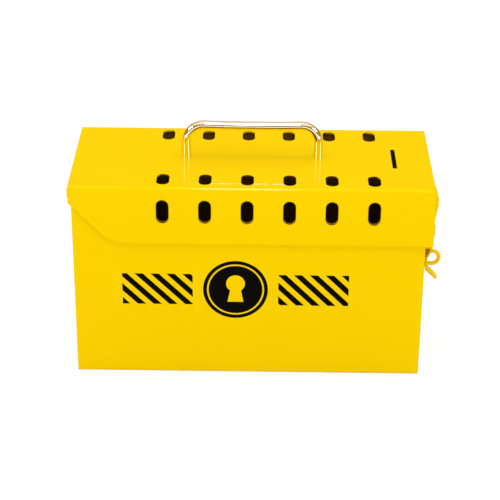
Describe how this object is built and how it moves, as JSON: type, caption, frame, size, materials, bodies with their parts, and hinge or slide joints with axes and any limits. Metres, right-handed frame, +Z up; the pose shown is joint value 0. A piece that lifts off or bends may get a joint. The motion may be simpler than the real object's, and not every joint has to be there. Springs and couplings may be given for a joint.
{
  "type": "group lockout box",
  "caption": "folded sheet-metal lockout box with an end-hinged lid, slots for padlocks, a wire handle and a slotted toggle latch",
  "frame": {"origin": "on the rest face, under the middle of the closed lid", "axes": "+X towards the latch end, +Y towards the back, +Z up"},
  "size_m": [0.2743, 0.108, 0.1805],
  "materials": {
    "yellow_coat": "glossy powder coat",
    "chrome": "polished chrome plate",
    "zinc": "bright zinc plate"
  },
  "bodies": {
    "box": {"body_wrap": "yellow_coat", "body_left_end": "yellow_coat", "body_right_end": "yellow_coat", "hinge_leaf_body": "yellow_coat", "hinge_pin": "yellow_coat", "latch_base": "yellow_coat", "latch_rivet_1": "yellow_coat", "latch_rivet_2": "yellow_coat", "latch_rivet_3": "yellow_coat", "latch_rivet_4": "yellow_coat", "padlock_staple": "yellow_coat", "lever_pin": "yellow_coat"},
    "lid": {"lid_shell": "yellow_coat", "handle_bar": "chrome", "handle_screw_left": "zinc", "handle_screw_right": "zinc", "handle_washer_left": "zinc", "handle_washer_right": "zinc", "hinge_leaf_lid": "yellow_coat", "catch_plate": "yellow_coat", "catch_rivet_front": "yellow_coat", "catch_rivet_back": "yellow_coat"},
    "lever": {"latch_lever": "yellow_coat"},
    "bail": {"bail_wire": "yellow_coat"}
  },
  "joints": [
    {"name": "lid_hinge", "type": "hinge", "parent": "box", "child": "lid", "pos_m": [-0.13005, 0, 0.1403], "axis": [0, -1, 0], "range_deg": [0, 180]},
    {"name": "lever_pivot", "type": "hinge", "parent": "box", "child": "lever", "pos_m": [0.1323, 0, 0.0975], "axis": [0, -1, 0], "range_deg": [0, 150]},
    {"name": "bail_pivot", "type": "hinge", "parent": "lever", "child": "bail", "pos_m": [0.1298, 0, 0.087], "axis": [0, -1, 0], "range_deg": [-150, 0]}
  ],
  "couplings": [
    {"joint": "bail_pivot", "follows": "lever_pivot", "ratio": -1}
  ]
}
